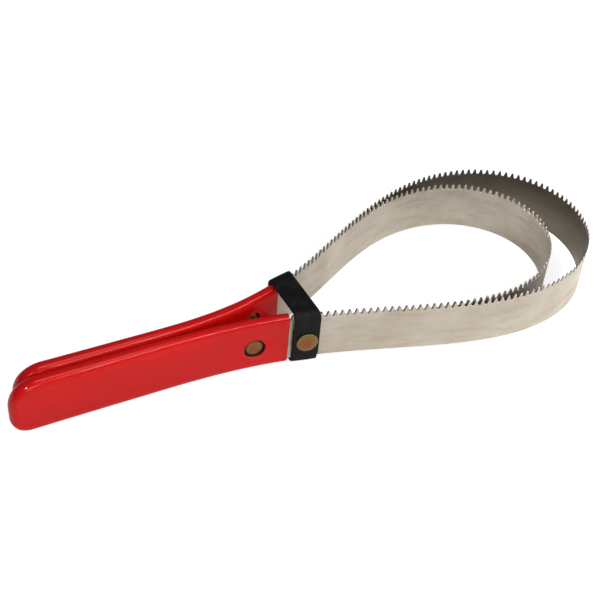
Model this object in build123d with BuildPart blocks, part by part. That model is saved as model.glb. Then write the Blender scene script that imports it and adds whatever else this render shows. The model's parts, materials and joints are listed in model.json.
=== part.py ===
from build123d import *
from collections import namedtuple
import math
import os

# Double-row shedding blade: two toothed spring-steel loops, two dipped grips and a keeper strap.
# Millimetres, +Z up. The handles run along X with the loops towards +X. "Near" is the -Y handle.
# The origin is midway between the two handles, on the underside of the strap, its lowest face.
# Heights in this file are above the blades' smooth edges (tooth tips at BLADE_W); the finished
# pieces are lifted so that the strap's underside comes to z = 0.

# Blade strip
BLADE_W = 25.4
BLADE_T = 0.6
BAND_GAP = 0.1
PITCH = 3.28
TOOTH_H = 2.7
TIP_R = 0.55
GULLET_R = 0.72
TIP_FLAT = 0.4

# Planform: handles at +-HANDLE_Y, an S-bend on each side, then one half loop back to the tip
HANDLE_Y = 3.6
BEND_X = -72.4
LEAN = 23.6
SKEW = 6.4
BEND_NEAR = 115.0
BEND_FAR = 113.0
ROUND_OUTER = 1.18
ROUND_INNER = 1.08

# Grips
GRIP_TAIL_NEAR = -60.6
GRIP_TAIL_FAR = -56.3
GRIP_END_NEAR = 65.5
GRIP_END_FAR = 70.0
GRIP_HALF_TAIL = 3.5
GRIP_HALF_END = 2.5
GRIP_LIP = 1.0
GRIP_CORNER_TOP = 12.0
GRIP_CORNER_LOW = 7.5
GRIP_SOFT = 1.6
BLADE_INSET = 5.6
TANG_PLAY = 0.05

# Rivets
RIVET_S_NEAR = 49.4
RIVET_S_FAR = 54.0
RIVET_Z_NEAR = 11.3
RIVET_Z_FAR = 14.5
SHANK_D = 4.0
HEAD_D = 9.2
CLINCH_D = 7.6
HOLE_PLAY = 0.1

# Strap and snap
STRAP_S_NEAR = 73.7
STRAP_S_FAR = 75.0
STRAP_TOE_FAR = 9.0
STRAP_W = 12.0
STRAP_T = 1.4
STRAP_TOP = 26.5
STRAP_LOW = -1.1
TAB_TOP = 20.0
FLAP_LOW = 0.5
SNAP_Z = 11.6
CAP_D = 10.0
SNAP_D = 7.0
NUB_D = 3.4

# Flexing links
LINK_GAP = 0.15
OUTER_HINGES = (-42, -30, -18, -6, 6, 18, 30, 42)
INNER_HINGES = (33, 21, 9)

NEAR, FAR = -1, 1
BEND = {NEAR: BEND_NEAR, FAR: BEND_FAR}
GRIP_TAIL = {NEAR: GRIP_TAIL_NEAR, FAR: GRIP_TAIL_FAR}
GRIP_END = {NEAR: GRIP_END_NEAR, FAR: GRIP_END_FAR}
RIVET_S = {NEAR: RIVET_S_NEAR, FAR: RIVET_S_FAR}
RIVET_Z = {NEAR: RIVET_Z_NEAR, FAR: RIVET_Z_FAR}


def walk(x, y, length, heading, steps=200):
    """Points (x, y, heading) along a curve whose heading depends on the fraction walked."""
    step = length / steps
    points = [(x, y, heading(0.0))]
    for i in range(steps):
        turn = math.radians(heading((i + 0.5) / steps))
        x += step * math.cos(turn)
        y += step * math.sin(turn)
        points.append((x, y, heading((i + 1) / steps)))
    return points


def bend_heading(side):
    lean = side * LEAN + SKEW
    return lambda f: lean * (1 - math.cos(math.pi * f)) / 2


def loop_heading(side, power):
    lean = side * LEAN + SKEW
    turn = side * (90 + LEAN)
    return lambda f: lean - turn * (1 - math.cos(math.pi / 2 * f ** power))


def loop_length(power, half_span):
    """Length of a half loop that comes in from half_span to the loop's own axis."""
    last = walk(0, 0, 1, loop_heading(NEAR, power))[-1]
    skew = math.radians(SKEW)
    rise = last[1] * math.cos(skew) - last[0] * math.sin(skew)
    return half_span / rise


def bend_start(side):
    """X where a side's S-bend starts, so both bends end level with each other."""
    if side == NEAR:
        return BEND_X
    near = walk(BEND_X, -HANDLE_Y, BEND_NEAR, bend_heading(NEAR))[-1]
    far = walk(BEND_X, HANDLE_Y, BEND_FAR, bend_heading(FAR))[-1]
    skew = math.radians(SKEW)
    ahead = (far[0] - near[0]) + (far[1] - near[1]) * math.tan(skew)
    return BEND_X - ahead


def bend_points(side):
    return walk(bend_start(side), side * HANDLE_Y, BEND[side], bend_heading(side))


def half_span():
    near = bend_points(NEAR)[-1]
    far = bend_points(FAR)[-1]
    return math.dist(near[:2], far[:2]) / 2


SPAN = half_span()
LOOP = {ROUND_OUTER: loop_length(ROUND_OUTER, SPAN), ROUND_INNER: loop_length(ROUND_INNER, SPAN)}


def half_path(side, power):
    """Stations (u, x, y, heading) of one side; u is the arc length from the tip of the loop."""
    bend = bend_points(side)
    loop = walk(bend[-1][0], bend[-1][1], LOOP[power], loop_heading(side, power))
    tail = (bend[0][0] + GRIP_TAIL[side] - 5, bend[0][1], 0.0)
    stations = [(LOOP[power] + BEND[side] - GRIP_TAIL[side] + 5, *tail)]
    for i, point in enumerate(bend):
        stations.append((LOOP[power] + BEND[side] * (1 - i / 200), *point))
    for i, point in enumerate(loop[1:]):
        stations.append((LOOP[power] * (1 - (i + 1) / 200), *point))
    return stations


def full_path(power):
    """One band from the near tail (u < 0) round the tip (u = 0) to the far tail (u > 0)."""
    near = [(-u, x, y, h) for u, x, y, h in half_path(NEAR, power)]
    far = [(u, x, y, h + 180) for u, x, y, h in half_path(FAR, power)]
    return near + far[-2::-1]


Band = namedtuple("Band", "path loop mid")
SHIFT = (BAND_GAP + BLADE_T) / 2
OUTER = Band(full_path(ROUND_OUTER), LOOP[ROUND_OUTER], SHIFT)
INNER = Band(full_path(ROUND_INNER), LOOP[ROUND_INNER], -SHIFT)


def station(band, u):
    """Point and heading (degrees) at arc length u."""
    path = band.path
    i = 1
    while i < len(path) - 1 and path[i][0] < u:
        i += 1
    a = path[i - 1]
    b = path[i]
    f = (u - a[0]) / (b[0] - a[0])
    return tuple(a[k] + f * (b[k] - a[k]) for k in (1, 2, 3))


def arc_at(band, side, s):
    """Arc length u of the place s along a side's S-bend."""
    return side * (band.loop + BEND[side] - s)


def beside(band, u, out):
    """Point at arc length u, moved out of the loop by `out`."""
    x, y, h = station(band, u)
    return (x + out * math.sin(math.radians(h)), y - out * math.cos(math.radians(h)))


def facing(band, u, out, z):
    """Plane on the band's side: X along the band, Y up, Z out of the loop."""
    x, y, h = station(band, u)
    along = (math.cos(math.radians(h)), math.sin(math.radians(h)), 0)
    normal = (along[1], -along[0], 0)
    return Plane(origin=(*beside(band, u, out), z), x_dir=along, z_dir=normal)


def strip_sketch(band, u0, u1, low, high, z=0):
    """Face between two curves beside the band's line; low and high give the offsets at u."""
    n = max(4, round(abs(u1 - u0) / 4))
    arcs = [u0 + (u1 - u0) * i / n for i in range(n + 1)]
    inside = [beside(band, u, low(u)) for u in arcs]
    outside = [beside(band, u, high(u)) for u in reversed(arcs)]
    with BuildSketch(Plane.XY.offset(z)) as face:
        with BuildLine():
            Spline(*inside)
            Line(inside[-1], outside[0])
            Spline(*outside)
            Line(outside[-1], inside[0])
        make_face()
    return face.sketch


# ---------------------------------------------------------------- blade strips

def gullet_profile():
    """Gap between two teeth: round bottom, straight flanks, round shoulders."""
    tip = (PITCH / 2, -TIP_R)
    low = (0, GULLET_R - TOOTH_H)
    reach = math.dist(tip, low)
    flank = math.atan2(tip[1] - low[1], tip[0]) + math.asin((TIP_R + GULLET_R) / reach)
    nx, ny = math.sin(flank), -math.cos(flank)
    low_in = (low[0] + GULLET_R * nx, low[1] + GULLET_R * ny)
    tip_in = (tip[0] - TIP_R * nx, tip[1] - TIP_R * ny)
    edge = (PITCH / 2 - TIP_FLAT / 2, -TIP_R + math.sqrt(TIP_R ** 2 - TIP_FLAT ** 2 / 4))
    mid_angle = (math.atan2(tip_in[1] - tip[1], tip_in[0] - tip[0]) % math.tau
                 + math.atan2(edge[1] - tip[1], edge[0] - tip[0])) / 2
    tip_mid = (tip[0] + TIP_R * math.cos(mid_angle), tip[1] + TIP_R * math.sin(mid_angle))
    return low_in, tip_in, tip_mid, edge


def flip(point):
    return (-point[0], point[1])


def gullet_sketch():
    low_in, tip_in, tip_mid, edge = gullet_profile()
    with BuildSketch() as gullets:
        with BuildLine():
            ThreePointArc(flip(low_in), (0, -TOOTH_H), low_in)
            Line(low_in, tip_in)
            ThreePointArc(tip_in, tip_mid, edge)
            Line(edge, (edge[0], 0.6))
            Line((edge[0], 0.6), (-edge[0], 0.6))
            Line((-edge[0], 0.6), flip(edge))
            ThreePointArc(flip(edge), flip(tip_mid), flip(tip_in))
            Line(flip(tip_in), flip(low_in))
        make_face()
    return gullets.sketch


GULLET = gullet_sketch()


def blade_sketch(band, u0, u1):
    low = band.mid - BLADE_T / 2
    return strip_sketch(band, u0, u1, lambda u: low, lambda u: low + BLADE_T)


def toothed(band, u0, u1):
    """Length of blade strip from u0 to u1 with a gullet at every whole pitch."""
    first = math.ceil((u0 - 0.2) / PITCH)
    last = math.floor((u1 + 0.2) / PITCH)
    planes = [facing(band, k * PITCH, band.mid - BLADE_T, BLADE_W) for k in range(first, last + 1)]
    with BuildPart() as piece:
        add(blade_sketch(band, u0, u1))
        extrude(amount=BLADE_W)
        with BuildSketch(*planes):
            add(GULLET)
        extrude(amount=2 * BLADE_T, mode=Mode.SUBTRACT)
    return piece.part


def tang(band, side, hinge):
    """Fixed end of a band: plain tang inside the grip, then teeth up to the first flexing place."""
    u_end = hinge * PITCH + side * LINK_GAP / 2
    tail = arc_at(band, side, GRIP_TAIL[side] + BLADE_INSET)
    mouth = arc_at(band, side, GRIP_END[side] - 1.5)
    with BuildPart() as piece:
        add(toothed(band, min(mouth, u_end), max(mouth, u_end)))
        add(blade_sketch(band, tail, mouth))
        extrude(amount=BLADE_W - TOOTH_H)
        with BuildSketch(facing(band, arc_at(band, side, RIVET_S[side]), band.mid, RIVET_Z[side])):
            Circle(SHANK_D / 2 + HOLE_PLAY)
        extrude(amount=3, both=True, mode=Mode.SUBTRACT)
        if side == NEAR:
            with BuildSketch(facing(band, arc_at(band, side, STRAP_S_NEAR), band.mid, SNAP_Z)):
                Circle(NUB_D / 2 + HOLE_PLAY)
            extrude(amount=3, both=True, mode=Mode.SUBTRACT)
    return piece.part


def link(band, hinge_a, hinge_b):
    """Toothed length of band between two flexing places."""
    return toothed(band, hinge_a * PITCH + LINK_GAP / 2, hinge_b * PITCH - LINK_GAP / 2)


# ---------------------------------------------------------------- grips and rivets

def grip_half(side):
    """Half thickness of a grip as a function of arc length."""
    tail = arc_at(OUTER, side, GRIP_TAIL[side])
    end = arc_at(OUTER, side, GRIP_END[side])
    return lambda u: GRIP_HALF_TAIL + (GRIP_HALF_END - GRIP_HALF_TAIL) * (u - tail) / (end - tail)


def grip(side):
    """Dipped sleeve, open towards the loop, with a slot for both tangs and a rivet hole."""
    tail = arc_at(OUTER, side, GRIP_TAIL[side])
    end = arc_at(OUTER, side, GRIP_END[side])
    pocket = arc_at(OUTER, side, GRIP_TAIL[side] + BLADE_INSET - 0.3)
    rivet_at = facing(OUTER, arc_at(OUTER, side, RIVET_S[side]), 0, RIVET_Z[side])
    half = grip_half(side)
    slot = BAND_GAP / 2 + BLADE_T + TANG_PLAY
    with BuildPart() as sleeve:
        add(strip_sketch(OUTER, tail, end, lambda u: -half(u), half, -GRIP_LIP))
        extrude(amount=BLADE_W + 2 * GRIP_LIP)
        tail_edges = sleeve.faces().sort_by(Axis.X)[0].edges().filter_by(Axis.Y).sort_by(Axis.Z)
        fillet(tail_edges[-1], GRIP_CORNER_TOP)
        tail_edges = sleeve.faces().sort_by(Axis.X)[0].edges().filter_by(Axis.Y).sort_by(Axis.Z)
        fillet(tail_edges[0], GRIP_CORNER_LOW)
        long_edges = [edge for edge in sleeve.edges() if edge.length > 60]
        fillet(long_edges, GRIP_SOFT)
        add(strip_sketch(OUTER, pocket, end - side * 2, lambda u: -slot, lambda u: slot, -TANG_PLAY))
        extrude(amount=BLADE_W + 2 * TANG_PLAY, mode=Mode.SUBTRACT)
        with BuildSketch(rivet_at):
            Circle(HEAD_D / 2 + 0.5)
        extrude(amount=6, mode=Mode.SUBTRACT)
        with BuildSketch(rivet_at):
            Circle(CLINCH_D / 2 + 0.5)
        extrude(amount=-6, mode=Mode.SUBTRACT)
    return sleeve.part


def rivet(side):
    """Tubular rivet: domed head outside, shank through both tangs, clinched end inside."""
    u = arc_at(OUTER, side, RIVET_S[side])
    z = RIVET_Z[side]
    face = BAND_GAP / 2 + BLADE_T + 0.12
    wall = grip_half(side)(u)
    with BuildPart() as body:
        with BuildSketch(facing(OUTER, u, -face - 0.9, z)):
            Circle(SHANK_D / 2)
        extrude(amount=2 * face + 1.8)
        with BuildSketch(facing(OUTER, u, -face - 0.9, z)):
            Circle(CLINCH_D / 2)
            Circle(SHANK_D / 2 - 0.4, mode=Mode.SUBTRACT)
        extrude(amount=0.9)
        with BuildSketch(facing(OUTER, u, face, z)):
            Circle(HEAD_D / 2)
        extrude(amount=wall - face)
        rim = body.edges().filter_by(GeomType.CIRCLE).sort_by(Axis.Y)[-1 if side == FAR else 0]
        fillet(rim, 0.9)
    return body.part


# ---------------------------------------------------------------- keeper strap

BAND_FACE = BAND_GAP / 2 + BLADE_T
TAB_IN = BAND_FACE + 0.1
FLAP_IN = TAB_IN + STRAP_T + 0.1
LEG_IN = GRIP_HALF_END + 0.45
STRAP_U = {NEAR: arc_at(OUTER, NEAR, STRAP_S_NEAR), FAR: arc_at(OUTER, FAR, STRAP_S_FAR)}
STRAP_IN = {NEAR: TAB_IN, FAR: LEG_IN}
STRAP_TOE = {NEAR: 0.0, FAR: STRAP_TOE_FAR}


def strap_line(side, out):
    """The strap beside a band: its tail corner, the way towards the loop and the way outwards."""
    h = math.radians(station(OUTER, STRAP_U[side])[2])
    toe = math.radians(STRAP_TOE[side])
    ahead = (-side * math.cos(h), -side * math.sin(h))
    away = (math.sin(h), -math.cos(h))
    along = tuple(a * math.cos(toe) - b * math.sin(toe) for a, b in zip(ahead, away))
    normal = tuple(b * math.cos(toe) + a * math.sin(toe) for a, b in zip(ahead, away))
    middle = beside(OUTER, STRAP_U[side], STRAP_IN[side])
    shift = out - STRAP_IN[side]
    tail = tuple(p - a * STRAP_W / 2 + n * shift for p, a, n in zip(middle, ahead, normal))
    return tail, along, normal


def strap_edge(side, out):
    """The strap's two plan corners beside a band, tail side first."""
    tail, along, normal = strap_line(side, out)
    return tail, (tail[0] + along[0] * STRAP_W, tail[1] + along[1] * STRAP_W)


def flat_leather(near_out, far_out, low):
    """Level panel of the strap between the two bands."""
    n0, n1 = strap_edge(NEAR, near_out)
    f0, f1 = strap_edge(FAR, far_out)
    with BuildPart() as panel:
        with BuildSketch(Plane.XY.offset(low)):
            with BuildLine():
                Polyline(n0, n1, f1, f0, close=True)
            make_face()
        extrude(amount=STRAP_T)
    return panel.part


def upright_leather(side, out, low, high, round_low=0, round_high=0):
    """Upright panel of the strap against a band."""
    tail, along, normal = strap_line(side, out)
    middle = (tail[0] + along[0] * STRAP_W / 2, tail[1] + along[1] * STRAP_W / 2, (low + high) / 2)
    with BuildPart() as panel:
        with BuildSketch(Plane(origin=middle, x_dir=(*along, 0), z_dir=(*normal, 0))):
            sheet = Rectangle(STRAP_W, high - low)
            if round_low:
                fillet(sheet.vertices().sort_by(Axis.Z)[:2], round_low)
            if round_high:
                fillet(sheet.vertices().sort_by(Axis.Z)[-2:], round_high)
        extrude(amount=STRAP_T)
    return panel.part


def strap_base():
    """Underside of the strap with the inner tab that carries the stud."""
    with BuildPart() as leather:
        add(flat_leather(TAB_IN + STRAP_T, LEG_IN + STRAP_T, STRAP_LOW - STRAP_T))
        add(upright_leather(NEAR, TAB_IN, STRAP_LOW - STRAP_T, TAB_TOP, round_high=4))
        with BuildSketch(facing(OUTER, STRAP_U[NEAR], TAB_IN, SNAP_Z)):
            Circle(SNAP_D / 2 + HOLE_PLAY)
        extrude(amount=STRAP_T, both=True, mode=Mode.SUBTRACT)
    return leather.part


def strap_flap():
    """Outer end of the strap, hanging over the tab, with the hole for the snap socket."""
    with BuildPart() as leather:
        add(upright_leather(NEAR, FLAP_IN, FLAP_LOW, STRAP_TOP - 0.1, round_low=4))
        with BuildSketch(facing(OUTER, STRAP_U[NEAR], FLAP_IN, SNAP_Z)):
            Circle(SNAP_D / 2 + HOLE_PLAY)
        extrude(amount=STRAP_T, both=True, mode=Mode.SUBTRACT)
    return leather.part


# ---------------------------------------------------------------- snap fastener

def snap_disc(out, depth, radius, bore=0, dome=0):
    """Disc on the near face at the snap, growing outwards from `out`."""
    with BuildPart() as disc:
        with BuildSketch(facing(OUTER, STRAP_U[NEAR], out, SNAP_Z)):
            Circle(radius)
            if bore:
                Circle(bore, mode=Mode.SUBTRACT)
        extrude(amount=depth)
        if dome:
            fillet(disc.edges().filter_by(GeomType.CIRCLE).sort_by(Axis.Y)[0], dome)
    return disc.part


def snap_post():
    """Rivet through both bands that holds the stud."""
    with BuildPart() as post:
        add(snap_disc(-BAND_FACE - 0.85, 0.8, 3.0))
        add(snap_disc(-BAND_FACE - 0.05, 2 * BAND_FACE + 0.1, NUB_D / 2))
    return post.part


def snap_stud():
    """Stud seated in the tab, with the nub that the socket grips."""
    with BuildPart() as stud:
        add(snap_disc(TAB_IN, STRAP_T, SNAP_D / 2))
        add(snap_disc(TAB_IN + STRAP_T, 1.2, NUB_D / 2))
    return stud.part


PIECES = {
    "near_grip": grip(NEAR),
    "far_grip": grip(FAR),
    "near_rivet": rivet(NEAR),
    "far_rivet": rivet(FAR),
    "outer_near_end": tang(OUTER, NEAR, OUTER_HINGES[0]),
    "outer_far_end": tang(OUTER, FAR, OUTER_HINGES[-1]),
    "inner_near_end": tang(INNER, NEAR, -INNER_HINGES[0]),
    "inner_far_end": tang(INNER, FAR, INNER_HINGES[0]),
    "strap_base": strap_base(),
    "strap_far_leg": upright_leather(FAR, LEG_IN, STRAP_LOW + 0.1, STRAP_TOP - 0.1),
    "strap_top": flat_leather(FLAP_IN + STRAP_T, LEG_IN + STRAP_T, STRAP_TOP),
    "strap_flap": strap_flap(),
    "snap_post": snap_post(),
    "snap_stud": snap_stud(),
    "snap_socket": snap_disc(FLAP_IN, STRAP_T, SNAP_D / 2, bore=NUB_D / 2 + 0.2),
    "snap_cap": snap_disc(FLAP_IN + STRAP_T + 0.05, 1.2, CAP_D / 2, dome=0.9),
}
for i in range(len(OUTER_HINGES) - 1):
    PIECES[f"outer_link_{i + 1}"] = link(OUTER, OUTER_HINGES[i], OUTER_HINGES[i + 1])
for i, (a, b) in enumerate(zip(INNER_HINGES, INNER_HINGES[1:] + (0,))):
    PIECES[f"inner_near_link_{i + 1}"] = link(INNER, -a, -b)
    PIECES[f"inner_far_link_{i + 1}"] = link(INNER, b, a)

os.makedirs("parts", exist_ok=True)
for name, piece in PIECES.items():
    solid = Pos(0, 0, STRAP_T - STRAP_LOW) * piece
    solid.label = name
    export_step(solid, f"parts/{name}.step")
    box = solid.bounding_box()
    print(f"{name:20s} {box.min.X:8.1f} {box.min.Y:8.1f} {box.min.Z:7.1f} {box.max.X:8.1f} "
          f"{box.max.Y:8.1f} {box.max.Z:7.1f} volume {solid.volume:9.1f} solids {len(solid.solids())}")
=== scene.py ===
import json
import math

import bmesh
import bpy
from mathutils import Matrix, Vector

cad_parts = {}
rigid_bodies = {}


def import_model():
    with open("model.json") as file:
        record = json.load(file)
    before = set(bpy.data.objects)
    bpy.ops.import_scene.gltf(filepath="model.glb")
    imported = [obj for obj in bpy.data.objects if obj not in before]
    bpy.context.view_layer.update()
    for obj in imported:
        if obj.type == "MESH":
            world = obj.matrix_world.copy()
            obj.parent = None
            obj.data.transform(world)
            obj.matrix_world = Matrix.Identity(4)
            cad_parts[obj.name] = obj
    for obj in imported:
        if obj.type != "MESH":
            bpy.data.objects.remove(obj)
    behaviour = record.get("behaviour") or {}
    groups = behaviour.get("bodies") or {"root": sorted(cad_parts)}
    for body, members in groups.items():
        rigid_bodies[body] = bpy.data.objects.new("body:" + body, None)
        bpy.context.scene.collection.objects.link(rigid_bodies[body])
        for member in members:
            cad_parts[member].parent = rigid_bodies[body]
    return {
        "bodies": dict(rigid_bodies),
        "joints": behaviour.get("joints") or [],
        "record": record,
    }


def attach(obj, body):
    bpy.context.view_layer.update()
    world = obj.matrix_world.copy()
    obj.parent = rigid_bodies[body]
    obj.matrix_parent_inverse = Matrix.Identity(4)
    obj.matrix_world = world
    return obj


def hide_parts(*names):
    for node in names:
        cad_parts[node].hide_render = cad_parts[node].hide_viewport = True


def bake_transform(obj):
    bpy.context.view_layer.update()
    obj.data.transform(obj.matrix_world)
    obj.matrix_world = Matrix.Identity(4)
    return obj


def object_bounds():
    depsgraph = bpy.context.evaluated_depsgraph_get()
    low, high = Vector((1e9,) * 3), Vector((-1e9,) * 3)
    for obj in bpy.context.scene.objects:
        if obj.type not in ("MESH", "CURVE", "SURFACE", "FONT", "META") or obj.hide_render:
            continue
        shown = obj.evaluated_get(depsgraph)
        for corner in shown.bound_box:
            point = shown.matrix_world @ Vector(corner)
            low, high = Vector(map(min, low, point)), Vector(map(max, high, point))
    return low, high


# Looks of the shedding blade. Lengths in this script are millimetres until a mesh is made, and
# heights are above the blades' smooth edges, which lie LIFT above the row's z = 0.
# "u" is the arc length along a blade from the tip of its loop: negative on the near side.
# "s" is the distance along a handle, zero where its band starts to bend away from the other.
# "out" is the distance from the band's centre line, towards the outside of the loop.

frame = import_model()
cad_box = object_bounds()
MM = 0.001
LIFT = 2.5
UP = Vector((0, 0, 1))
NEAR, FAR = -1, 1
SIDES = {NEAR: "near", FAR: "far"}

# ---------------------------------------------------------------- planform of the two blades

BLADE_W = 25.4  # strip width, teeth included
BLADE_T = 0.6
BAND_GAP = 0.1  # between the two strips where they lie side by side
PITCH = 3.28
TOOTH_H = 2.7
TIP_R = 0.55
GULLET_R = 0.72
HANDLE_Y = 3.6  # from the middle of the tool to the centre line of a handle
BEND_X = -72.4  # start of the bends
LEAN = 23.6  # degrees between a band and the tool's axis at the end of its bend
SKEW = 6.4  # degrees by which the loop is turned towards the far side
BEND = {NEAR: 115.0, FAR: 113.0}  # length of each bend
TAIL_SPARE = 5.0  # centre line drawn past the grip's tail
GRIP_TAIL = {NEAR: -60.6, FAR: -56.3}
GRIP_END = {NEAR: 65.5, FAR: 70.0}
GRIP_HALF_TAIL = 3.5
GRIP_HALF_END = 2.5
RIVET_S = {NEAR: 49.4, FAR: 54.0}
RIVET_Z = {NEAR: 11.3, FAR: 14.5}
STRAP_S = {NEAR: 73.7, FAR: 75.0}
STRAP_TOE = {NEAR: 0.0, FAR: 9.0}  # degrees between the strap's edge and the band
SNAP_Z = 11.6


def walk(x, y, length, heading, steps=400):
    """Points (x, y, heading) along a curve whose heading depends on the fraction walked."""
    step = length / steps
    points = [(x, y, heading(0.0))]
    for i in range(steps):
        turn = math.radians(heading((i + 0.5) / steps))
        x += step * math.cos(turn)
        y += step * math.sin(turn)
        points.append((x, y, heading((i + 1) / steps)))
    return points


def bend_heading(side):
    """Heading along a bend: straight ahead at first, leaning outwards at the end."""
    lean = side * LEAN + SKEW
    return lambda f: lean * (1 - math.cos(math.pi * f)) / 2


def loop_heading(side, power):
    """Heading along half a loop, up to its tip; a larger power keeps more of the turn for last."""
    lean = side * LEAN + SKEW
    turn = side * (90 + LEAN)
    return lambda f: lean - turn * (1 - math.cos(math.pi / 2 * f ** power))


def bend_points(side, start):
    """The bend of one side, from x = start on."""
    return walk(start, side * HANDLE_Y, BEND[side], bend_heading(side))


def planform():
    """The two bends, ending level with each other across the skewed loop, and half their gap."""
    near = bend_points(NEAR, BEND_X)
    far = bend_points(FAR, BEND_X)
    along, across = (b - a for a, b in zip(near[-1][:2], far[-1][:2]))
    ahead = along + across * math.tan(math.radians(SKEW))
    far = bend_points(FAR, BEND_X - ahead)
    return {NEAR: near, FAR: far}, math.dist(near[-1][:2], far[-1][:2]) / 2


S_BENDS, SPAN = planform()


class Band:
    """One blade's centre line, as stations (u, x, y, heading).

    mid is the place of the strip's own middle, out from the line half-way between the blades.
    """

    def __init__(self, power, mid):
        last = walk(0, 0, 1, loop_heading(NEAR, power))[-1]
        skew = math.radians(SKEW)
        self.loop = SPAN / (last[1] * math.cos(skew) - last[0] * math.sin(skew))
        self.mid = mid
        near = [(-u, x, y, h) for u, x, y, h in self.half(NEAR, power)]
        far = [(u, x, y, h + 180) for u, x, y, h in self.half(FAR, power)]
        self.path = near + far[-2::-1]

    def half(self, side, power):
        """Stations of one side, from behind the grip's tail to the tip; u is positive here."""
        bend = S_BENDS[side]
        loop = walk(bend[-1][0], bend[-1][1], self.loop, loop_heading(side, power))
        n = len(bend) - 1
        reach = self.loop + BEND[side]
        tail = GRIP_TAIL[side] - TAIL_SPARE
        rows = [(reach - tail, bend[0][0] + tail, bend[0][1], 0.0)]
        rows += [(reach - BEND[side] * i / n, *p) for i, p in enumerate(bend)]
        rows += [(self.loop * (1 - (i + 1) / n), *p) for i, p in enumerate(loop[1:])]
        return rows

    def at(self, u):
        """x, y and heading at u."""
        low, high = 1, len(self.path) - 1
        while low < high:
            half = (low + high) // 2
            if self.path[half][0] < u:
                low = half + 1
            else:
                high = half
        a, b = self.path[low - 1], self.path[low]
        f = (u - a[0]) / (b[0] - a[0])
        return [a[k] + f * (b[k] - a[k]) for k in (1, 2, 3)]

    def arc(self, side, s):
        """u of the place at s on that side."""
        return side * (self.loop + BEND[side] - s)

    def point(self, u, out, z):
        x, y, h = self.at(u)
        turn = math.radians(h)
        return Vector((x + out * math.sin(turn), y - out * math.cos(turn), z))

    def axes(self, u):
        """Directions along the band and out of the loop."""
        turn = math.radians(self.at(u)[2])
        along = Vector((math.cos(turn), math.sin(turn), 0))
        return along, Vector((along.y, -along.x, 0))


SHIFT = (BAND_GAP + BLADE_T) / 2
OUTER = Band(power=1.18, mid=SHIFT)
INNER = Band(power=1.08, mid=-SHIFT)


# ---------------------------------------------------------------- mesh helpers

def metres(point):
    """A point of this script, in millimetres, as a place in the row frame."""
    return Vector((point[0], point[1], point[2] + LIFT)) * MM


def make_object(name, verts, faces, smooth, uv):
    """Mesh object from points in millimetres; smooth is a flag per face, uv a pair per point.

    The mesh is cut where smooth faces meet flat ones, so that the edge there stays crisp.
    """
    mesh = bpy.data.meshes.new(name)
    mesh.from_pydata([tuple(metres(v)) for v in verts], [], faces)
    mesh.polygons.foreach_set("use_smooth", smooth)
    layer = mesh.uv_layers.new(name="UVMap")
    for loop in mesh.loops:
        layer.data[loop.index].uv = uv[loop.vertex_index]
    mesh.validate()
    mesh.update()
    bm = bmesh.new()
    bm.from_mesh(mesh)
    bmesh.ops.recalc_face_normals(bm, faces=bm.faces)
    inner = [edge for edge in bm.edges if len(edge.link_faces) == 2]
    crease = [edge for edge in inner if edge.link_faces[0].smooth != edge.link_faces[1].smooth]
    bmesh.ops.split_edges(bm, edges=crease)
    bm.to_mesh(mesh)
    bm.free()
    piece = bpy.data.objects.new(name, mesh)
    bpy.context.scene.collection.objects.link(piece)
    return piece


def skin(rings, flat=()):
    """Closed surface through equal rings of points; flat lists the ring spans that stay flat."""
    count = len(rings[0])
    verts = [p for ring in rings for p in ring]
    faces, smooth = [], []
    for i in range(len(rings) - 1):
        for j in range(count):
            k = (j + 1) % count
            faces.append((i * count + j, i * count + k, (i + 1) * count + k, (i + 1) * count + j))
            smooth.append(j not in flat)
    faces.append(tuple(range(count - 1, -1, -1)))
    faces.append(tuple((len(rings) - 1) * count + j for j in range(count)))
    smooth += [False, False]
    return verts, faces, smooth


PIN_R = 0.02  # smallest radius of a ring, so that none closes to a point


def lathe(name, profile, plane, sunk=0.0, segments=64):
    """Turned piece from (radius, height) points; plane is (origin, out direction), in mm.

    The uv pair is (sunk, radius): sunk is 1 for a head that lies in a well, whose rim gets painted
    shade.
    """
    origin, out = plane
    side = out.cross(UP).normalized()
    up = side.cross(out)
    rings = []
    for radius, height in profile:
        ring = []
        for i in range(segments):
            a = math.tau * i / segments
            spoke = side * math.cos(a) + up * math.sin(a)
            ring.append(origin + out * height + spoke * max(radius, PIN_R))
        rings.append(ring)
    verts, faces, smooth = skin(rings)
    uv = [(sunk, radius) for radius, height in profile for i in range(segments)]
    return make_object(name, verts, faces, smooth, uv)


# ---------------------------------------------------------------- toothed blades

def tooth_steps():
    """Places across one pitch, from a gullet's middle to the next, with the edge height there."""
    tip = (PITCH / 2, -TIP_R)
    low = (0.0, GULLET_R - TOOTH_H)
    reach = math.dist(tip, low)
    flank = math.atan2(tip[1] - low[1], tip[0]) + math.asin((TIP_R + GULLET_R) / reach)
    gullet_n, tip_n = 4, 5
    steps = []
    for i in range(gullet_n + 1):
        a = flank * i / gullet_n
        steps.append((low[0] + GULLET_R * math.sin(a), low[1] - GULLET_R * math.cos(a)))
    for i in range(tip_n, 0, -1):
        a = flank * i / tip_n
        steps.append((tip[0] - TIP_R * math.sin(a), tip[1] + TIP_R * math.cos(a)))
    mirrored = [(PITCH - d, h) for d, h in steps[:0:-1]]
    return steps + [(tip[0], 0.0)] + mirrored


TOOTH = tooth_steps()
TINY = 1e-9
PLACES = 5  # decimals kept in a column's place
TEETH_IN = 1.0  # teeth start this far inside the grip's mouth


def edge_height(d, plain):
    """Height of the blade's upper edge at distance d past a gullet's middle."""
    if plain:
        return BLADE_W - TOOTH_H
    for (d0, h0), (d1, h1) in zip(TOOTH, TOOTH[1:] + [(PITCH, -TOOTH_H)]):
        if d0 - TINY <= d <= d1 + TINY:
            return BLADE_W + h0 + (h1 - h0) * (d - d0) / max(d1 - d0, TINY)
    return BLADE_W


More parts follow.
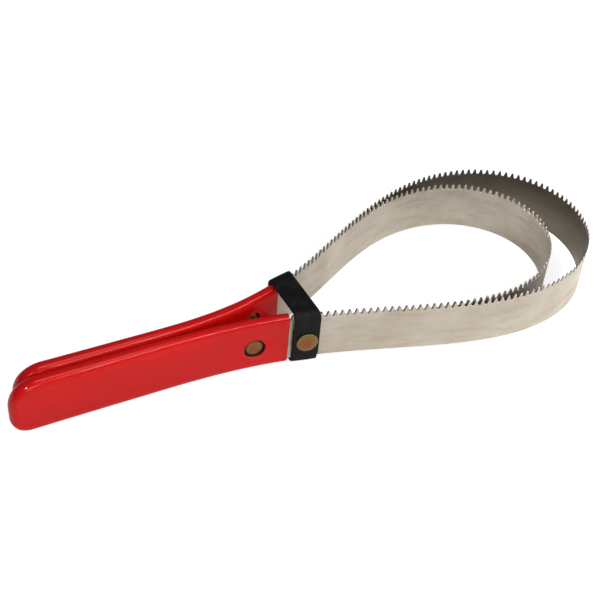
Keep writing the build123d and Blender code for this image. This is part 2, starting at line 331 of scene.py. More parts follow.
def columns(band, u0, u1):
    """Arc lengths of the mesh columns from u0 to u1, with the edge height at each."""
    places = {round(u0, PLACES), round(u1, PLACES)}
    for k in range(math.floor(u0 / PITCH), math.ceil(u1 / PITCH) + 1):
        places |= {round(k * PITCH + d, PLACES) for d, h in TOOTH if u0 < k * PITCH + d < u1}
    mouth = {side: band.arc(side, GRIP_END[side] - TEETH_IN) for side in (NEAR, FAR)}
    rows = []
    for u in sorted(places):
        plain = u < mouth[NEAR] or u > mouth[FAR]
        rows.append((u, edge_height(u % PITCH, plain)))
    return rows


SOFT_EDGE = 0.1
BODY_Z = BLADE_W - TOOTH_H - 0.6  # just under the gullets
BODY_ROWS = (0.12, 0.3, 0.5, 0.7, 0.85)  # mesh rows, as fractions of the height up to BODY_Z
CROWN = len(BODY_ROWS) + 4  # place in the ring of the outer face's highest point


def blade_ring(band, u, top, thin=0.0):
    """Cross-section of the strip at u, with its edges broken; thin is taken off all round."""
    half = BLADE_T / 2 - thin
    edge = half - SOFT_EDGE
    foot, top = thin, top - thin
    low = foot + SOFT_EDGE
    rows = [low + (BODY_Z - foot - SOFT_EDGE) * f for f in BODY_ROWS]
    heights = [low] + rows + [BODY_Z, top - SOFT_EDGE]
    outside = [(half, z) for z in heights]
    inside = [(-half, z) for z in reversed(heights)]
    loop = [(-edge, foot), (edge, foot)] + outside + [(edge, top), (-edge, top)] + inside
    return [band.point(u, band.mid + out, z) for out, z in loop]


TONGUE = 3.0
TONGUE_THIN = 0.03
INNER_MARKS = 500  # shift along u that gives the inner blade stains of its own
# Painted shade: DARK_SIDE marks the face that the steel material darkens in place of the shadow
# between the blades.
DARK_SIDE = 100.0  # shift in z that tells the steel material to darken a face


def blade_piece(name, band, u0, u1, tongue=0.0):
    """Length of toothed strip. A tongue slips inside the next length, so a parting stays closed.

    The uv pair is (u, height). The inner face of the outer blade is marked as the dark side, which
    gets painted shade.
    """
    rows = columns(band, u0, u1)
    rings = [blade_ring(band, u, top) for u, top in rows]
    if tongue:
        extra = columns(band, u1, u1 + tongue)
        rings += [blade_ring(band, u, top, TONGUE_THIN) for u, top in extra]
        rows += extra
    flat = {0, 1, len(rings[0]) - 1, CROWN, CROWN + 1, CROWN + 2}
    verts, faces, smooth = skin(rings, flat)
    shift = 0 if band is OUTER else INNER_MARKS
    uv = []
    for (u, top), ring in zip(rows, rings):
        for j, point in enumerate(ring):
            dark = DARK_SIDE if band is OUTER and j > CROWN + 1 else 0
            uv.append(((u + shift) * MM, (point.z + dark) * MM))
    return make_object(name, verts, faces, smooth, uv)


def band_joints(first, bodies):
    """Joints of a chain of bodies, in order from the first body."""
    chain = []
    here = first
    while True:
        found = [j for j in frame["joints"] if j["parent"] == here and j["child"] in bodies]
        if not found:
            return chain
        chain.append(found[0])
        here = found[0]["child"]


def hinge_u(band, joint, pitches=60):
    """Arc length of a hinge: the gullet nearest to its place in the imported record."""
    place = [c / MM for c in joint["pos_m"][:2]]

    def miss(k):
        return math.dist(band.point(k * PITCH, band.mid, 0)[:2], place)

    return min(range(-pitches, pitches + 1), key=miss) * PITCH


def node_of(body, word):
    """First CAD node on that body whose name starts with the word."""
    nodes = frame["record"]["behaviour"]["bodies"][body]
    return [node for node in nodes if node.startswith(word)][0]


def build_chain(band, word, chain, u_first, u_last):
    """Continuous lengths of blade from u_first to u_last, one round each hinge, in place of the CAD
    strips there.
    """
    hinges = [hinge_u(band, joint) for joint in chain]
    cuts = [u_first] + [(a + b) / 2 for a, b in zip(hinges, hinges[1:])] + [u_last]
    reach = abs(hinges[1] - hinges[0]) / 2
    way = math.copysign(1, u_last - u_first)
    family = word.split("_")[0]
    pieces = []
    for i, (joint, hinge, a, b) in enumerate(zip(chain, hinges, cuts, cuts[1:])):
        tongue = TONGUE if word == "inner_near" and i == len(chain) - 1 else 0.0
        piece = blade_piece(f"{word}_strip_{i + 1}", band, min(a, b), max(a, b), tongue)
        u_start = hinge - way * min(reach, abs(a - hinge))
        u_end = hinge + way * min(reach, abs(b - hinge))
        metres(band.point(u_start, band.mid, BLADE_W / 2))
        metres(band.point(u_end, band.mid, BLADE_W / 2))
        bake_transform(piece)
        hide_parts(node_of(joint["parent"], family))
        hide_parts(node_of(joint["child"], family))
        pieces.append(piece)
    return pieces


HIDE = 2.5  # strip hidden inside the grip's mouth


def build_blades():
    """The outer blade from grip to grip, and the inner one as half a loop from each grip."""
    ends = {side: OUTER.arc(side, GRIP_END[side] - HIDE) for side in (NEAR, FAR)}
    bodies = [body for body in frame["bodies"] if body.startswith("outer")] + ["far_handle"]
    chain = band_joints("near_handle", bodies)
    pieces = build_chain(OUTER, "outer", chain, ends[NEAR], ends[FAR])
    for side in (NEAR, FAR):
        word = "inner_" + SIDES[side]
        bodies = [body for body in frame["bodies"] if body.startswith(word)]
        chain = band_joints(SIDES[side] + "_handle", bodies)
        first = INNER.arc(side, GRIP_END[side] - HIDE)
        pieces += build_chain(INNER, word, chain, first, 0.0)
    return pieces


STEEL = build_blades()


# ---------------------------------------------------------------- dipped grips

def grip_half(side, s):
    """Half thickness of the grip at s: thicker towards the tail."""
    tail, end = GRIP_TAIL[side], GRIP_END[side]
    return GRIP_HALF_TAIL + (GRIP_HALF_END - GRIP_HALF_TAIL) * (s - tail) / (end - tail)


FOOT, HEAD = -1.0, 26.4  # heights of the grip's lower and upper edge
GRIP_SOFT = 3.2  # radius of its long edges
MOUTH_R = 0.9
TAIL_R, TAIL_FOOT_R, TAIL_HEAD_R = 3.2, 8.5, 13.5  # rounding of the tail, in plan and from the side
FINE_MID, FINE_HALF = 12.9, 8.0  # band of heights round both rivets that has close mesh rows
FINE_S = 7.5  # reach of the close mesh columns either side of a rivet
ROW_GAP = 0.3
SHEATH = 0.8  # half thickness of the slot that the blades fill
RIVET_R = 4.3
WELL_R, WELL_BACK_R = 4.75, 4.1
LIP_H, LIP_W, LIP_OUT, LIP_REACH = 0.09, 0.6, 0.35, 2.5  # raised lip round a well


def grip_levels():
    """Heights of the mesh rows on a broad face, close together round the rivets.

    Coarse rows that would crowd the first or last of the close ones are left out.
    """
    n, fine_n = 26, 45
    rows = [FOOT + (HEAD - FOOT) * i / n for i in range(n + 1)]
    rows += [FINE_MID + FINE_HALF * i / fine_n for i in range(-fine_n, fine_n + 1)]
    least, crowd = 0.001, 0.4
    spaced = [z for z in rows if not least < abs(z - FINE_MID) - FINE_HALF < crowd]
    low, high = FOOT + GRIP_SOFT + ROW_GAP, HEAD - GRIP_SOFT - ROW_GAP
    return [z for z in sorted(set(round(z, 3) for z in spaced)) if low < z < high]


LEVELS = grip_levels()


def grip_ring(half, foot, head, soft):
    """Rounded rectangle (out, z), from the outer face's foot upwards and round."""
    soft = min(soft, half * 0.98, (head - foot) * 0.49)
    low, high = LEVELS[0] - ROW_GAP, LEVELS[-1] + ROW_GAP
    face = [foot + soft + (head - foot - 2 * soft) * (z - low) / (high - low) for z in LEVELS]
    corner = [math.radians(90 * i / 6) for i in range(7)]
    ring = [(half, z) for z in face]
    ring += [(half - soft + soft * math.cos(a), head - soft + soft * math.sin(a)) for a in corner]
    ring += [((half - soft) * (1 - 2 * i / 4), head) for i in range(1, 4)]
    ring += [(-half + soft - soft * math.sin(a), head - soft + soft * math.cos(a)) for a in corner]
    ring += [(-half, z) for z in reversed(face)]
    ring += [(-half + soft - soft * math.cos(a), foot + soft - soft * math.sin(a)) for a in corner]
    ring += [((soft - half) * (1 - 2 * i / 4), foot) for i in range(1, 4)]
    ring += [(half - soft + soft * math.sin(a), foot + soft - soft * math.cos(a)) for a in corner]
    return ring


def well(dist, radius, depth, soft=0.35):
    """Depth of the rivet well at a distance from its axis, with a slightly raised lip."""
    t = min(max((radius + soft - dist) / soft, 0.0), 1.0)
    lip = LIP_H * math.exp(-((dist - radius - soft - LIP_OUT) / LIP_W) ** 2)
    return depth * t * t * (3 - 2 * t) - lip


def grip_stations(side):
    """Distances along the grip, close together at the tail, the rivet and the mouth."""
    tail, end, hole = GRIP_TAIL[side], GRIP_END[side] - 1.0, RIVET_S[side]
    turn = 13
    tail_n, body_n, hole_n, mouth_n = 26, 70, 86, 8
    rows = [tail + turn * (1 - math.cos(math.pi / 2 * i / tail_n)) for i in range(tail_n + 1)]
    body = hole - FINE_S - tail - turn
    rows += [tail + turn + body * i / body_n for i in range(1, body_n)]
    rows += [hole - FINE_S + 2 * FINE_S * i / hole_n for i in range(hole_n + 1)]
    rows += [hole + FINE_S + (end - hole - FINE_S) * i / mouth_n for i in range(1, mouth_n)]
    return rows


def corner_drop(gone, radius):
    """How far a rounded corner of that radius has still to rise, at a distance past its start."""
    if gone >= radius:
        return 0.0
    return radius - math.sqrt(max(radius ** 2 - (radius - gone) ** 2, 0.0))


def grip_profile(side, s):
    """Half thickness, foot and head of the grip at s, rounded off at the tail."""
    gone = s - GRIP_TAIL[side]
    half = grip_half(side, s) - corner_drop(gone, TAIL_R)
    return half, FOOT + corner_drop(gone, TAIL_FOOT_R), HEAD - corner_drop(gone, TAIL_HEAD_R)


def wobble(s, z, side):
    """Slight unevenness of a dipped coating, in mm."""
    long = 0.05 * math.sin(s * 0.11 + side)
    short = 0.035 * math.sin(s * 0.27 + z * 0.22 + 2 * side)
    return long + short + 0.03 * math.sin(z * 0.5 - s * 0.05)


def grip_points(side, s, half, foot, head):
    """Ring of the grip at s, with its rivet wells, as pairs of a point and its uv (s, depth)."""
    u = OUTER.arc(side, s)
    depth = grip_half(side, RIVET_S[side]) - SHEATH
    points = []
    for out, z in grip_ring(half, foot, head, GRIP_SOFT):
        dist = math.hypot(s - RIVET_S[side], z - RIVET_Z[side])
        sink = 0.0
        if abs(out) > half - 0.01:
            radius = WELL_R if out > 0 else WELL_BACK_R
            sink = well(dist, radius, depth) if dist < radius + LIP_REACH else 0.0
            out = math.copysign(abs(out) - sink + wobble(s, z, side), out)
        points.append((OUTER.point(u, out, z), (s * MM, max(sink, 0.0))))
    return points


def build_grip(side):
    """Grip from the tail to the mouth, where it rounds over and runs back into the slot."""
    rings = [grip_points(side, s, *grip_profile(side, s)) for s in grip_stations(side)]
    end = GRIP_END[side]
    half = grip_half(side, end)
    n = 6
    for i in range(n + 1):
        a = math.pi / 2 * i / n
        back = MOUTH_R * (1 - math.sin(a))
        drop = MOUTH_R * (1 - math.cos(a))
        rings.append(grip_points(side, end - back, half - drop, FOOT + drop, HEAD - drop))
    for back, slot_half, inset in ((0, 1.2, 0.75), (0.3, 0.85, 0.9), (2.2, SHEATH, 0.95)):
        rings.append(grip_points(side, end - back, slot_half, FOOT + inset, HEAD - inset))
    uv = [place for ring in rings for point, place in ring]
    verts, faces, smooth = skin([[point for point, place in ring] for ring in rings])
    piece = make_object(SIDES[side] + "_grip_dipped", verts, faces, smooth, uv)
    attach(piece, SIDES[side] + "_handle")
    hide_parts(SIDES[side] + "_grip")
    return piece


GRIPS = [build_grip(NEAR), build_grip(FAR)]


# ---------------------------------------------------------------- rivets and snap

STRAP_T = 1.4
LAYER_GAP = 0.1  # between leather and steel, and between the tab and the flap
BLADES_OUT = BAND_GAP / 2 + BLADE_T  # from the centre line to either blade's outer face
TAB_IN = BLADES_OUT + LAYER_GAP


def domed(radius, base, height, edge):
    """Profile of a cap with a rolled edge and a shallow crown."""
    edge_n, crown_n, fullness = 8, 14, 0.8
    rows = [(radius - edge, base)]
    for i in range(1, edge_n + 1):
        a = math.pi * i / edge_n
        rows.append((radius - edge + edge * math.sin(a), base + edge - edge * math.cos(a)))
    crown = height - 2 * edge
    for i in range(1, crown_n + 1):
        f = i / crown_n
        rise = math.sin(math.pi / 2 * f) ** fullness
        rows.append(((radius - edge) * (1 - f), base + 2 * edge + crown * rise))
    return rows


def side_plane(side, s, z):
    """Place on a band's centre line, and the direction out from there."""
    u = OUTER.arc(side, s)
    return OUTER.point(u, 0, z), OUTER.axes(u)[1]


def build_rivet(side):
    """Rivet through both blades: domed head outside, hollow upset end inside."""
    wall = grip_half(side, RIVET_S[side])
    face = BLADES_OUT + 0.12
    plane = side_plane(side, RIVET_S[side], RIVET_Z[side])
    profile = [(1.1, -face - 0.35), (1.5, -face - 0.85), (2.8, -face - 1.0), (3.6, -face - 0.75),
               (3.8, -face - 0.35), (3.6, -face), (2.0, -face), (2.0, face), (4.1, face)]
    profile += domed(RIVET_R, face + 0.2, wall - face - 0.3, 0.45)[1:]
    piece = lathe(SIDES[side] + "_rivet_turned", profile, plane, sunk=1.0)
    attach(piece, SIDES[side] + "_handle")
    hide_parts(SIDES[side] + "_rivet")
    return piece


def build_snap():
    """Cap and socket on the flap, stud and post on the tab."""
    face = BLADES_OUT
    tab = TAB_IN
    flap = tab + STRAP_T + LAYER_GAP
    plane = side_plane(NEAR, STRAP_S[NEAR], SNAP_Z)
    profiles = {
        "snap_cap": [(4.2, flap + 1.48)] + domed(5.0, flap + 1.46, 1.5, 0.42),
        "snap_socket": [
            (1.95, flap + 0.25), (2.15, flap), (3.2, flap), (3.5, flap + 0.3), (3.5, flap + 1.4),
            (1.95, flap + 1.4)],
        "snap_stud": [
            (0.5, tab + 0.1), (3.2, tab), (3.5, tab + 0.3), (3.5, tab + 1.2), (3.2, tab + 1.4),
            (1.5, tab + 1.4), (1.35, tab + 1.7), (1.65, tab + 2.1), (1.5, tab + 2.45),
            (0.9, tab + 2.6), (0.0, tab + 2.62)],
        "snap_post": [
            (0.0, -face - 0.9), (1.8, -face - 0.85), (2.8, -face - 0.6), (3.0, -face - 0.3),
            (2.85, -face - 0.05), (1.7, -face - 0.05), (1.7, face + 0.05), (0.0, face + 0.05)],
    }
    pieces = []
    for name, profile in profiles.items():
        piece = lathe(name + "_turned", profile, plane)
        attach(piece, "strap_end" if name in ("snap_cap", "snap_socket") else "near_handle")
        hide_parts(name)
        pieces.append(piece)
    return pieces


BRASS = [build_rivet(NEAR), build_rivet(FAR)] + build_snap()


# ---------------------------------------------------------------- keeper strap

STRAP_W = 12.0
FLAP_OUT = TAB_IN + LAYER_GAP + 2 * STRAP_T
TAB_OUT = TAB_IN + STRAP_T
LEG_OUT = GRIP_HALF_END + 0.45 + STRAP_T
STRAP_IN = {NEAR: TAB_IN, FAR: LEG_OUT - STRAP_T}
TOP_Z = 27.9
LOW_Z = -2.5
TAB_TOP_Z = 20.0
FLAP_END_Z = 0.5
STRAP_R = 4.0  # rounding of the strap's two ends
FOLD_TAB, FOLD_LOW, FOLD_FAR, FOLD_NEAR = 2.6, 1.2, 3.0, 3.9  # outer radii, along the strap


def strap_corners(side, out):
    """Plan corners of the strap beside a band, tail side first; the far one toes in."""
    u = OUTER.arc(side, STRAP_S[side])
    forward, away = OUTER.axes(u)
    ahead = forward * -side
    toe = math.radians(STRAP_TOE[side])
    along = ahead * math.cos(toe) - away * math.sin(toe)
    normal = away * math.cos(toe) + ahead * math.sin(toe)
    start = OUTER.point(u, STRAP_IN[side], 0) - ahead * (STRAP_W / 2)
    tail = start + normal * (out - STRAP_IN[side])
    return tail, tail + along * STRAP_W


def turn_corner(corner, leave, arrive, radius, n=12):
    """Stations round a bend: point and inward direction, from one leg's way to the next's."""
    centre = corner - leave * radius + arrive * radius
    rows = []
    for i in range(n + 1):
        a = math.pi / 2 * i / n
        outward = -arrive * math.cos(a) + leave * math.sin(a)
        rows.append((centre + outward * radius, -outward))
    return rows


def lifted(place, z):
    """The point above or below that place, at height z."""
    return Vector((place.x, place.y, z))


def strap_lines(near, far, part):
    """Outer line of one edge of the strap, for the part round one of its folds.

    Each row is a point and the direction into the leather there.
    """
    across = lifted(near - far, 0).normalized()
    half_leg = (lifted(far, (TOP_Z + LOW_Z) / 2), across)
    half_top = ((lifted(far, TOP_Z) + lifted(near, TOP_Z)) / 2, -UP)
    if part == "under":
        tab_top = (lifted(near, TAB_TOP_Z), -across)
        tab_fold = turn_corner(lifted(near, LOW_Z), -UP, -across, FOLD_TAB)
        far_fold = turn_corner(lifted(far, LOW_Z), -across, UP, FOLD_LOW)
        return [tab_top] + tab_fold + far_fold + [half_leg]
    if part == "top":
        return [half_leg] + turn_corner(lifted(far, TOP_Z), UP, across, FOLD_FAR) + [half_top]
    near_fold = turn_corner(lifted(near, TOP_Z), across, -UP, FOLD_NEAR)
    return [half_top] + near_fold + [(lifted(near, FLAP_END_Z), -across)]


def fill(lines, step=0.8):
    """Adds stations between those more than a step apart, equally many on both edge lines."""
    counts = [max(1, round((q[0] - p[0]).length / step)) for p, q in zip(lines[0], lines[0][1:])]
    filled = []
    for rows in lines:
        out = [rows[0]]
        for (p, d), (q, e), n in zip(rows, rows[1:], counts):
            for i in range(1, n + 1):
                out.append((p + (q - p) * (i / n), (d + (e - d) * (i / n)).normalized()))
        filled.append(out)
    return filled


def ribbon_section(n=14, edge_n=6, soft=0.55, crown=0.12):
    """Section of the strap as (fraction across, depth): crowned outer face, rounded edges."""
    rim = soft / STRAP_W
    half = STRAP_T / 2
    across = [rim + (1 - 2 * rim) * i / n for i in range(n + 1)]
    edge = [math.pi * i / edge_n for i in range(1, edge_n)]
    section = [(a, crown * (2 * a - 1) ** 4) for a in across]
    section += [(1 - rim * (1 - math.sin(t)), half - half * math.cos(t)) for t in edge]
    section += [(1 - a, STRAP_T) for a in across]
    section += [(rim * (1 - math.sin(t)), half + half * math.cos(t)) for t in edge]
    return section


def ribbon(name, tail_edge, loop_edge, end_round=0.0):
    """Leather strip between two edge lines, with its last end rounded by end_round.

    The uv pair is the place across and along the strip.
    """
    section = ribbon_section()
    steps = [0.0] + [(b[0] - a[0]).length for a, b in zip(tail_edge, tail_edge[1:])]
    total = sum(steps[1:])
    rings, uv = [], []
    length = 0.0
    for step, (p, d), (q, e) in zip(steps, tail_edge, loop_edge):
        length += step
        narrow = corner_drop(total - length, end_round) / STRAP_W
        ring = []
        for a, depth in section:
            b = narrow + a * (1 - 2 * narrow)
            ring.append(p + (q - p) * b + (d + (e - d) * b).normalized() * depth)
            uv.append((b * STRAP_W * MM, length * MM))
        rings.append(ring)
    verts, faces, smooth = skin(rings)
    return make_object(name, verts, faces, smooth, uv)


def build_strap():
    """The strap in three parts: the tab and the run under the blades, over the far fold, and the
    near fold down to the flap.
    """
    far = strap_corners(FAR, LEG_OUT)
    tab = strap_corners(NEAR, TAB_OUT)
    flap = strap_corners(NEAR, FLAP_OUT)

    lines = [strap_lines(t, f, "under") for t, f in zip(tab, far)]
    lines = [line[::-1] for line in fill(lines)]
    under = ribbon("strap_under_and_tab", *lines, STRAP_R)
    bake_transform(under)
    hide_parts("strap_base", "strap_far_leg")

    lines = fill([strap_lines(n, f, "top") for n, f in zip(flap, far)])
    top = ribbon("strap_over_far", *lines)
    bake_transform(top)
    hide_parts("strap_far_leg", "strap_top")

    lines = fill([strap_lines(n, f, "flap") for n, f in zip(flap, far)])
    end = ribbon("strap_over_near", *lines, STRAP_R)
    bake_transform(end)
    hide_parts("strap_top", "strap_flap")
    return [under, top, end]


STRAP = build_strap()


# ---------------------------------------------------------------- materials

class Nodes:
    """Short way to wire a node material. Colours are linear (r, g, b, 1)."""

    def __init__(self, name):
        self.material = bpy.data.materials.new(name)
        self.material.use_nodes = True
        self.tree = self.material.node_tree
        self.shader = self.tree.nodes["Principled BSDF"]

    def space(self):
        """Place in the piece's own frame, in metres."""
        return self.add("ShaderNodeTexCoord").outputs["Object"]

    def uv(self):
        """The piece's uv, whole and as its two parts."""
        pair = self.add("ShaderNodeUVMap", uv_map="UVMap").outputs["UV"]
        parts = self.add("ShaderNodeSeparateXYZ")
        self.link(pair, parts.inputs["Vector"])
        return pair, parts.outputs["X"], parts.outputs["Y"]

    def add(self, kind, **values):
        node = self.tree.nodes.new(kind)
        for key, value in values.items():
            if hasattr(node, key):
                setattr(node, key, value)
            else:
                node.inputs[key].default_value = value
        return node

    def link(self, source, target):
        self.tree.links.new(source, target)

    def noise(self, vector, scale, detail=3.0, rough=0.5):
        node = self.add("ShaderNodeTexNoise")
        node.inputs["Scale"].default_value = scale
        node.inputs["Detail"].default_value = detail
        node.inputs["Roughness"].default_value = rough
        self.link(vector, node.inputs["Vector"])
        return node.outputs["Fac"]

    def stretch(self, vector, scale):
        node = self.add("ShaderNodeMapping")
        node.inputs["Scale"].default_value = scale
        self.link(vector, node.inputs["Vector"])
        return node.outputs["Vector"]

    def remap(self, value, low, high, to_low, to_high):
        node = self.add("ShaderNodeMapRange")
        spans = {"From Min": low, "From Max": high, "To Min": to_low, "To Max": to_high}
        for key, number in spans.items():
            node.inputs[key].default_value = number
        self.link(value, node.inputs["Value"])
        return node.outputs["Result"]

    def mix(self, factor, a, b):
        node = self.add("ShaderNodeMix", data_type="RGBA")
        for key, value in (("A", a), ("B", b)):
            socket = [s for s in node.inputs if s.name == key and s.type == "RGBA"][0]
            if isinstance(value, tuple):
                socket.default_value = value
            else:
                self.link(value, socket)
        self.link(factor, node.inputs[0])
        return [s for s in node.outputs if s.type == "RGBA"][0]

    def math(self, operation, a, b):
        node = self.add("ShaderNodeMath", operation=operation)
        for socket, value in zip(node.inputs, (a, b)):
            if isinstance(value, float):
                socket.default_value = value
            else:
                self.link(value, socket)
        return node.outputs[0]

    def bump(self, height, strength, distance, below=None):
        node = self.add("ShaderNodeBump")
        node.inputs["Strength"].default_value = strength
        node.inputs["Distance"].default_value = distance
        self.link(height, node.inputs["Height"])
        if below is not None:
            self.link(below, node.inputs["Normal"])
        return node.outputs["Normal"]

    def set(self, key, value):
        if isinstance(value, (int, float, tuple)):
            self.shader.inputs[key].default_value = value
        else:
            self.link(value, self.shader.inputs[key])


def steel():
    """Satin spring steel: long rolling marks, warm stains and handling smudges.

    Painted shade, standing in for the shadow and dark reflections between the blades, covers only
    the dark side, whose uv heights lie DARK_SIDE above all others, and thins out towards its lower
    edge.
    """
    pale, warm = (0.63, 0.59, 0.525, 1), (0.51, 0.45, 0.38, 1)
    brown, bright, painted_shade = (0.40, 0.325, 0.255, 1), (0.70, 0.665, 0.615, 1), (0.15, 0.13, 0.11, 1)
    n = Nodes("satin_spring_steel")
    uv, _, height = n.uv()
    streak = n.noise(n.stretch(uv, (60.0, 2600.0, 1.0)), 1.0, 4.0, 0.6)
    stain = n.noise(n.space(), 38.0, 5.0, 0.62)
    smudge = n.noise(n.stretch(uv, (42.0, 210.0, 1.0)), 1.0, 6.0, 0.65)
    base = n.mix(n.remap(stain, 0.36, 0.68, 0.0, 1.0), pale, warm)
    base = n.mix(n.remap(smudge, 0.48, 0.70, 0.0, 0.6), base, brown)
    base = n.mix(n.remap(streak, 0.42, 0.72, 0.0, 0.40), base, bright)
    # Painted shade on the outer blade's inner face: a dark colour mixed over the steel, strongest
    # at the top.
    on_dark_side = n.remap(height, 0.05, 0.09, 0.0, 1.0)
    upwards = n.remap(height, 0.103, 0.121, 0.48, 1.0)
    painted_shade_amount = n.math("MULTIPLY", on_dark_side, upwards)
    painted_shade_amount = n.math("MULTIPLY", painted_shade_amount, n.remap(stain, 0.3, 0.7, 1.0, 0.85))
    n.set("Base Color", n.mix(painted_shade_amount, base, painted_shade))
    n.set("Metallic", 1.0)
    grease = n.remap(smudge, 0.3, 0.7, 0.0, 0.14)
    n.set("Roughness", n.math("ADD", grease, n.remap(streak, 0.3, 0.7, 0.30, 0.42)))
    n.set("Normal", n.bump(streak, 0.14, 0.0002, n.bump(smudge, 0.10, 0.0006)))
    return n.material


def vinyl():
    """Glossy red dipped vinyl with the slow waviness of a dip coat, and painted shade down in the
    wells.
    """
    deep, full = (0.43, 0.0026, 0.0030, 1), (0.53, 0.0040, 0.0038, 1)
    dull, painted_well_shade = (0.36, 0.005, 0.007, 1), (0.035, 0.008, 0.006, 1)
    n = Nodes("red_dipped_vinyl")
    space = n.space()
    slow = n.noise(n.stretch(space, (14.0, 45.0, 45.0)), 1.0, 2.0, 0.4)
    fine = n.noise(space, 900.0, 3.0, 0.5)
    mottle = n.noise(space, 120.0, 5.0, 0.6)
    base = n.mix(n.remap(slow, 0.3, 0.7, 0.0, 1.0), deep, full)
    base = n.mix(n.remap(mottle, 0.55, 0.85, 0.0, 0.3), base, dull)
    _, _, depth = n.uv()
    # Painted shade: the vinyl darkens with the depth of a rivet well, in place of the shadow down
    # in it.
    n.set("Base Color", n.mix(n.remap(depth, 0.02, 0.45, 0.0, 0.92), base, painted_well_shade))
    n.set("Specular IOR Level", 0.17)
    n.set("Roughness", n.remap(mottle, 0.3, 0.7, 0.10, 0.16))
    n.set("Coat Weight", 0.15)
    n.set("Coat Roughness", 0.08)
    n.set("Normal", n.bump(fine, 0.03, 0.0001, n.bump(slow, 0.2, 0.0012)))
    return n.material


def leather():
    """Black satin leather: fine pebble grain, paler scuffs."""
    black, worn = (0.0055, 0.0055, 0.006, 1), (0.022, 0.021, 0.021, 1)
    n = Nodes("black_strap_leather")
    space = n.space()
    cells = n.add("ShaderNodeTexVoronoi", feature="DISTANCE_TO_EDGE")
    cells.inputs["Scale"].default_value = 1500.0
    n.link(space, cells.inputs["Vector"])
    grain = n.remap(cells.outputs["Distance"], 0.0, 0.25, 0.0, 1.0)
    soft = n.noise(space, 420.0, 4.0, 0.6)
    scuff = n.noise(space, 160.0, 6.0, 0.68)
    n.set("Base Color", n.mix(n.remap(scuff, 0.52, 0.80, 0.0, 1.0), black, worn))
    n.set("Specular IOR Level", 0.11)
    n.set("Roughness", n.remap(scuff, 0.3, 0.7, 0.38, 0.55))
    n.set("Normal", n.bump(grain, 0.30, 0.00015, n.bump(soft, 0.35, 0.0003)))
    return n.material


def brass():
    """Aged brass: orange-brown crown, olive towards the rim, and painted shade on the rim where it
    lies in a well.
    """
    orange, olive = (0.27, 0.090, 0.026, 1), (0.22, 0.155, 0.055, 1)
    tarnish, painted_well_shade = (0.075, 0.052, 0.026, 1), (0.030, 0.022, 0.014, 1)
    n = Nodes("aged_brass")
    _, sunk, radius = n.uv()
    space = n.space()
    patch = n.noise(space, 380.0, 6.0, 0.65)
    fine = n.noise(space, 2600.0, 4.0, 0.6)
    outwards = n.remap(radius, 1.4, 4.2, 0.0, 1.0)
    edge = n.math("ADD", outwards, n.remap(patch, 0.3, 0.7, -0.35, 0.35))
    base = n.mix(edge, orange, olive)
    base = n.mix(n.remap(patch, 0.5, 0.72, 0.0, 0.75), base, tarnish)
    # Painted shade: the rim of a head sunk in a well is darkened, in place of the shadow of the
    # well's wall.
    rim = n.math("MULTIPLY", sunk, n.remap(radius, 3.35, 3.95, 0.0, 0.85))
    n.set("Base Color", n.mix(rim, base, painted_well_shade))
    n.set("Metallic", 0.8)
    n.set("Roughness", n.remap(patch, 0.3, 0.7, 0.36, 0.55))
    n.set("Normal", n.bump(fine, 0.15, 0.0001, n.bump(patch, 0.3, 0.0003)))
    return n.material


def paint(pieces, material):
    for piece in pieces:
        piece.data.materials.clear()
        piece.data.materials.append(material)


paint(STEEL, steel())
paint(GRIPS, vinyl())
paint(STRAP, leather())
paint(BRASS, brass())


# ---------------------------------------------------------------- floor, light and camera

def build_floor():
    """Pale floor. The camera sees it as near-white, a little darker by the tool for its shadow."""
    warm, grey, white = (0.80, 0.78, 0.74, 1), (0.50, 0.50, 0.50, 1), (1.0, 1.0, 1.0, 1)
    half, low = 6.0, cad_box[0].z - 0.0002
    mesh = bpy.data.meshes.new("floor")
    corners = [(-half, -half, low), (half, -half, low), (half, half, low), (-half, half, low)]
    mesh.from_pydata(corners, [], [(0, 1, 2, 3)])
    floor = bpy.data.objects.new("floor", mesh)
    bpy.context.scene.collection.objects.link(floor)
    n = Nodes("pale_floor")
    seen = n.add("ShaderNodeLightPath").outputs["Is Camera Ray"]
    n.set("Base Color", n.mix(seen, warm, grey))
    n.set("Roughness", 0.9)
    n.set("Specular IOR Level", 0.0)
    n.set("Emission Color", white)
    distance = n.add("ShaderNodeVectorMath", operation="LENGTH")
    n.link(n.space(), distance.inputs[0])
    glow = n.remap(distance.outputs["Value"], 0.3, 1.5, 0.76, 1.0)
    n.set("Emission Strength", n.math("MULTIPLY", seen, glow))
    floor.data.materials.append(n.material)


def build_world():
    """Soft studio: bright towards the camera's side, dim behind the tool, white when looked at."""
    bright_way = (-0.20, -0.96, 0.10)
    dim, bright = 0.13, 0.32
    world = bpy.data.worlds.new("studio")
    bpy.context.scene.world = world
    world.use_nodes = True
    tree = world.node_tree
    space = tree.nodes.new("ShaderNodeTexCoord")
    dot = tree.nodes.new("ShaderNodeVectorMath")
    dot.operation = "DOT_PRODUCT"
    dot.inputs[1].default_value = bright_way
    span = tree.nodes.new("ShaderNodeMapRange")
    spans = {"From Min": -0.1, "From Max": 0.9, "To Min": dim, "To Max": bright}
    for key, number in spans.items():
        span.inputs[key].default_value = number
    tree.links.new(space.outputs["Generated"], dot.inputs[0])
    tree.links.new(dot.outputs["Value"], span.inputs["Value"])
    seen = tree.nodes.new("ShaderNodeLightPath").outputs["Is Camera Ray"]
    white = tree.nodes.new("ShaderNodeMath")
    white.operation = "MAXIMUM"
    tree.links.new(span.outputs["Result"], white.inputs[0])
    tree.links.new(seen, white.inputs[1])
    background = tree.nodes["Background"]
    tree.links.new(white.outputs["Value"], background.inputs["Strength"])
    background.inputs["Color"].default_value = (1.0, 1.0, 1.0, 1)


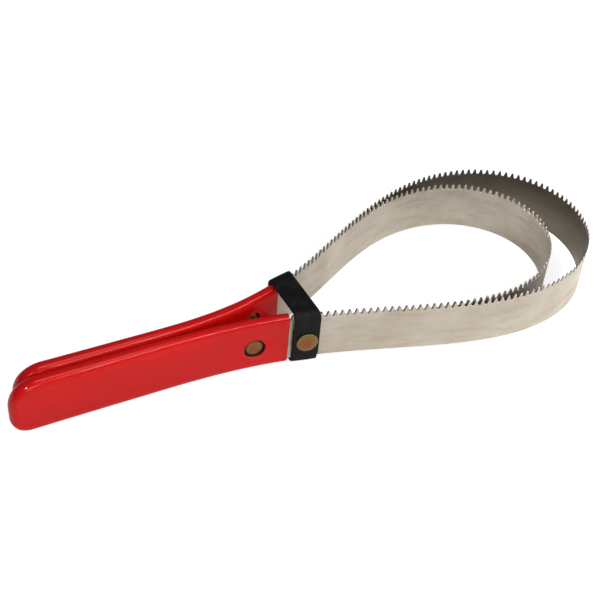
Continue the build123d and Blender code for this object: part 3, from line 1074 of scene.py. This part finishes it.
def area_light(name, place, aim, size, power):
    data = bpy.data.lights.new(name, "AREA")
    data.shape = "RECTANGLE"
    data.size, data.size_y = size
    data.energy = power
    light = bpy.data.objects.new(name, data)
    bpy.context.scene.collection.objects.link(light)
    light.location = place
    light.rotation_mode = "QUATERNION"
    light.rotation_quaternion = (Vector(aim) - Vector(place)).to_track_quat("-Z", "Y")


def build_lights():
    """Places, aims and sizes in metres, power in watts."""
    middle = (0.03, 0.02, 0.0)
    area_light("key", (-0.22, -1.0, 0.42), middle, (0.5, 0.3), 2.4)
    area_light("side", (0.42, -0.20, 0.13), (0.13, -0.01, 0.01), (0.12, 0.12), 1.1)
    area_light("line", (0.46, -0.60, 0.80), (0.02, 0.0, 0.02), (0.9, 0.05), 5.2)
    area_light("speck", (-0.72, -0.50, 0.90), (-0.11, 0.0, 0.02), (0.06, 0.06), 3.6)
    area_light("top", (0.0, -0.15, 1.2), middle, (0.5, 0.5), 2.4)


def build_camera():
    """Looks down 41 degrees from the front left, with a slight roll."""
    azimuth, elevation, roll = (math.radians(a) for a in (-29.99, 40.97, -5.12))
    target, distance = (16.7, 25.1, 0.0), 0.5614
    back = Vector((math.sin(azimuth) * math.cos(elevation),
                   -math.cos(azimuth) * math.cos(elevation),
                   math.sin(elevation)))
    right = Vector((math.cos(azimuth), math.sin(azimuth), 0))
    up = back.cross(right)
    tilted = right * math.cos(roll) - up * math.sin(roll)
    level = right * math.sin(roll) + up * math.cos(roll)
    place = metres(target) + back * distance
    data = bpy.data.cameras.new("camera")
    data.sensor_width = 36.0
    data.lens = 69.8
    data.clip_start = 0.01
    camera = bpy.data.objects.new("camera", data)
    bpy.context.scene.collection.objects.link(camera)
    camera.matrix_world = Matrix((
        (tilted.x, level.x, back.x, place.x),
        (tilted.y, level.y, back.y, place.y),
        (tilted.z, level.z, back.z, place.z),
        (0, 0, 0, 1)))
    bpy.context.scene.camera = camera


build_floor()
build_world()
build_lights()
build_camera()
bpy.context.scene.view_settings.view_transform = "Standard"
